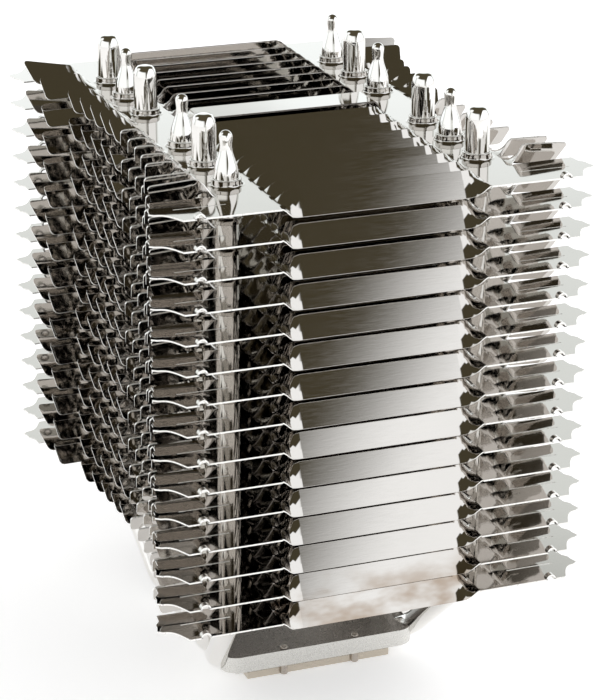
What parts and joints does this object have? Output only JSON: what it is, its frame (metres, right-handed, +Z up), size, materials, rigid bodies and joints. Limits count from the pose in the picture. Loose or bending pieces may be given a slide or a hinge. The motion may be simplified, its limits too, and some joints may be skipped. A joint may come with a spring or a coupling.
{
  "type": "passive cpu heatsink",
  "caption": "Tall passive CPU heatsink: a stack of louvred, twisted-slat metal fins threaded on U-shaped heatpipes that run down into a compact rectangular contact base.",
  "frame": {"origin": "centre of the contact face under the base", "axes": "+Z up through the fins, -Y towards the front edge of the fins, +X to the right seen from the front"},
  "size_m": [0.1112, 0.1426, 0.1572],
  "materials": {
    "fin_sheet": "polished dark nickel plating",
    "pipe_plating": "polished nickel plating",
    "block_metal": "fine matte",
    "plate_plating": "satin nickel plating",
    "pin_metal": "plain"
  },
  "bodies": {
    "root": {"fin_01": "fin_sheet", "fin_02": "fin_sheet", "fin_03": "fin_sheet", "fin_04": "fin_sheet", "fin_05": "fin_sheet", "fin_06": "fin_sheet", "fin_07": "fin_sheet", "fin_08": "fin_sheet", "fin_09": "fin_sheet", "fin_10": "fin_sheet", "fin_11": "fin_sheet", "fin_12": "fin_sheet", "fin_13": "fin_sheet", "fin_14": "fin_sheet", "fin_15": "fin_sheet", "heatpipe_a": "pipe_plating", "heatpipe_b": "pipe_plating", "heatpipe_c": "pipe_plating", "heatpipe_d": "pipe_plating", "heatpipe_e": "pipe_plating", "heatpipe_f": "pipe_plating", "base_block": "block_metal", "contact_plate": "plate_plating", "base_pins": "pin_metal"}
  },
  "joints": []
}
